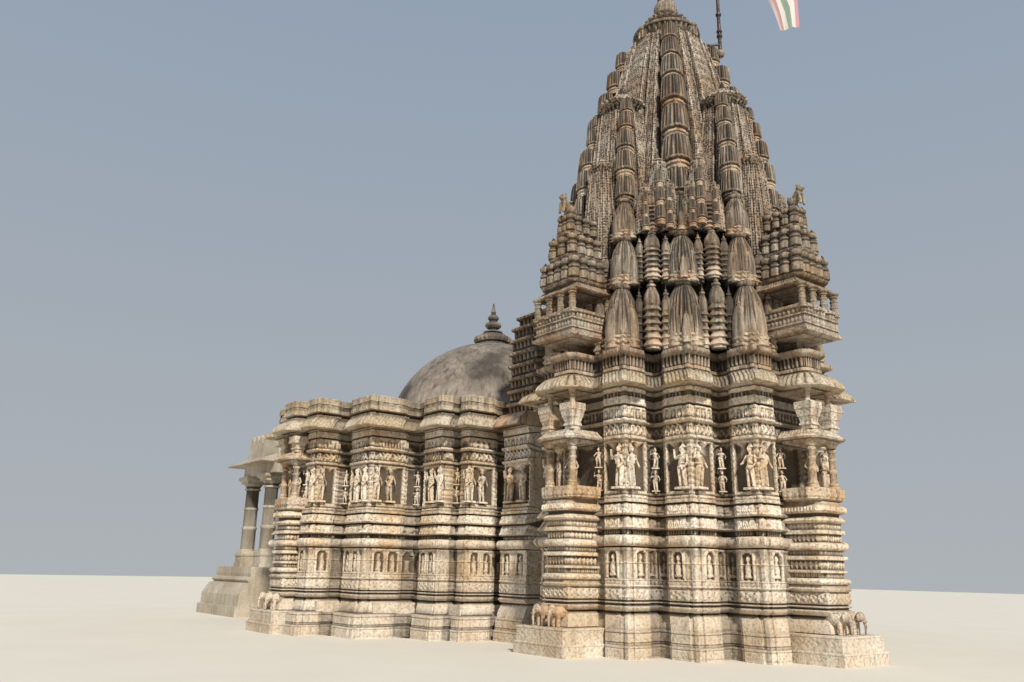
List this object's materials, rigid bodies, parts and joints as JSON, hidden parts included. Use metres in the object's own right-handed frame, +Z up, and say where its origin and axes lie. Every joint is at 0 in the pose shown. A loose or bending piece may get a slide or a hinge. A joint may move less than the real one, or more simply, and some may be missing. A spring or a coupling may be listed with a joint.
{
  "type": "carved stone temple",
  "caption": "Carved stone temple with a stepped plan: a sanctum tower under a curved spire, a domed hall and a pillared porch.",
  "frame": {"origin": "ground level under the middle of the sanctum tower", "axes": "+Z up, +X from the porch toward the rear face of the sanctum, -Y toward the long side seen in the picture"},
  "size_m": [24.4233, 14.4, 19.46],
  "materials": {
    "wall_stone": "carved sandstone, weathered",
    "plinth_stone": "worn sandstone",
    "eave_stone": "pale sandstone, sunlit",
    "spire_stone": "sandstone with dark weathering",
    "dome_plaster": "lime plaster gone black",
    "white_marble": "white stone, limewashed",
    "porch_stone": "grey stone",
    "pole_paint": "weathered paint",
    "flag_cloth": "plain striped cloth"
  },
  "bodies": {
    "root": {"amalaka": "spire_stone", "crown_dome": "white_marble", "crown_finial": "white_marble", "dome_finial": "dome_plaster", "flag": "flag_cloth", "flagpole": "pole_paint", "hall_balcony_far": "white_marble", "hall_balcony_near": "white_marble", "hall_dome": "dome_plaster", "hall_eave": "eave_stone", "hall_elephants_far": "plinth_stone", "hall_elephants_near": "plinth_stone", "hall_parapet": "eave_stone", "hall_plinth": "plinth_stone", "hall_wall_far": "wall_stone", "hall_wall_front": "wall_stone", "hall_wall_near": "wall_stone", "hall_wall_rear": "wall_stone", "lower_balcony_far": "white_marble", "lower_balcony_near": "white_marble", "lower_balcony_rear": "white_marble", "porch_column_door_far": "porch_stone", "porch_column_door_near": "porch_stone", "porch_column_front_far": "porch_stone", "porch_column_front_near": "porch_stone", "porch_column_rear_far": "porch_stone", "porch_column_rear_near": "porch_stone", "porch_parapet": "porch_stone", "porch_plinth": "porch_stone", "porch_roof": "porch_stone", "porch_stair": "porch_stone", "sanctum_door_wall": "wall_stone", "spire_base": "spire_stone", "spire_lower": "spire_stone", "spire_upper": "spire_stone", "tower_attic": "wall_stone", "tower_eave": "eave_stone", "tower_elephants_far": "plinth_stone", "tower_elephants_near": "plinth_stone", "tower_elephants_rear": "plinth_stone", "tower_plinth": "plinth_stone", "tower_wall_far": "wall_stone", "tower_wall_near": "wall_stone", "tower_wall_rear": "wall_stone", "upper_balcony_far": "white_marble", "upper_balcony_near": "white_marble", "upper_balcony_rear": "white_marble", "vestibule_plinth": "plinth_stone", "vestibule_roof": "wall_stone", "vestibule_wall_far": "wall_stone", "vestibule_wall_near": "wall_stone"}
  },
  "joints": []
}
